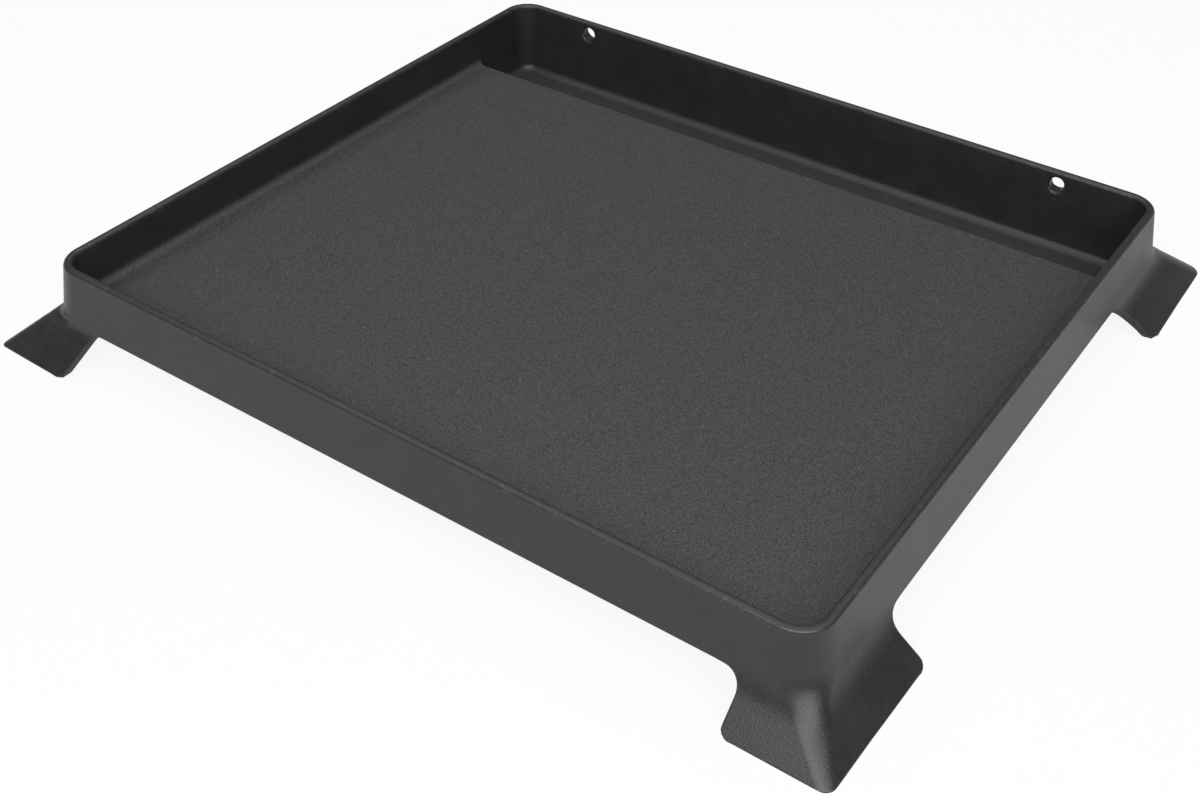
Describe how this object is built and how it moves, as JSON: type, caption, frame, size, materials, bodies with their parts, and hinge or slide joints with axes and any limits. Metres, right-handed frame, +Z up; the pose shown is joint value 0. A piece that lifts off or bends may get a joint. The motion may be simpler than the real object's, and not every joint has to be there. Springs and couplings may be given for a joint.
{
  "type": "camp griddle plate",
  "caption": "Rectangular cast griddle pan with a flat cooking floor, a deep grease trough along the rear wall, holes through that wall and flared corner feet.",
  "frame": {"origin": "on the surface the feet stand on, under the middle of their spread", "axes": "+X to the right along the front wall, +Y to the rear wall with the trough, +Z up"},
  "size_m": [0.404, 0.368, 0.0415],
  "materials": {
    "coated_casting": "cast aluminium with a baked matte charcoal non-stick coating, finely speckled, slightly worn along the rim"
  },
  "bodies": {
    "root": {"cooking_plate": "coated_casting", "front_wall": "coated_casting", "rear_wall": "coated_casting", "left_wall": "coated_casting", "right_wall": "coated_casting", "front_left_corner": "coated_casting", "front_right_corner": "coated_casting", "rear_left_corner": "coated_casting", "rear_right_corner": "coated_casting", "grease_trough": "coated_casting", "front_left_foot": "coated_casting", "front_right_foot": "coated_casting", "rear_left_foot": "coated_casting", "rear_right_foot": "coated_casting"}
  },
  "joints": []
}
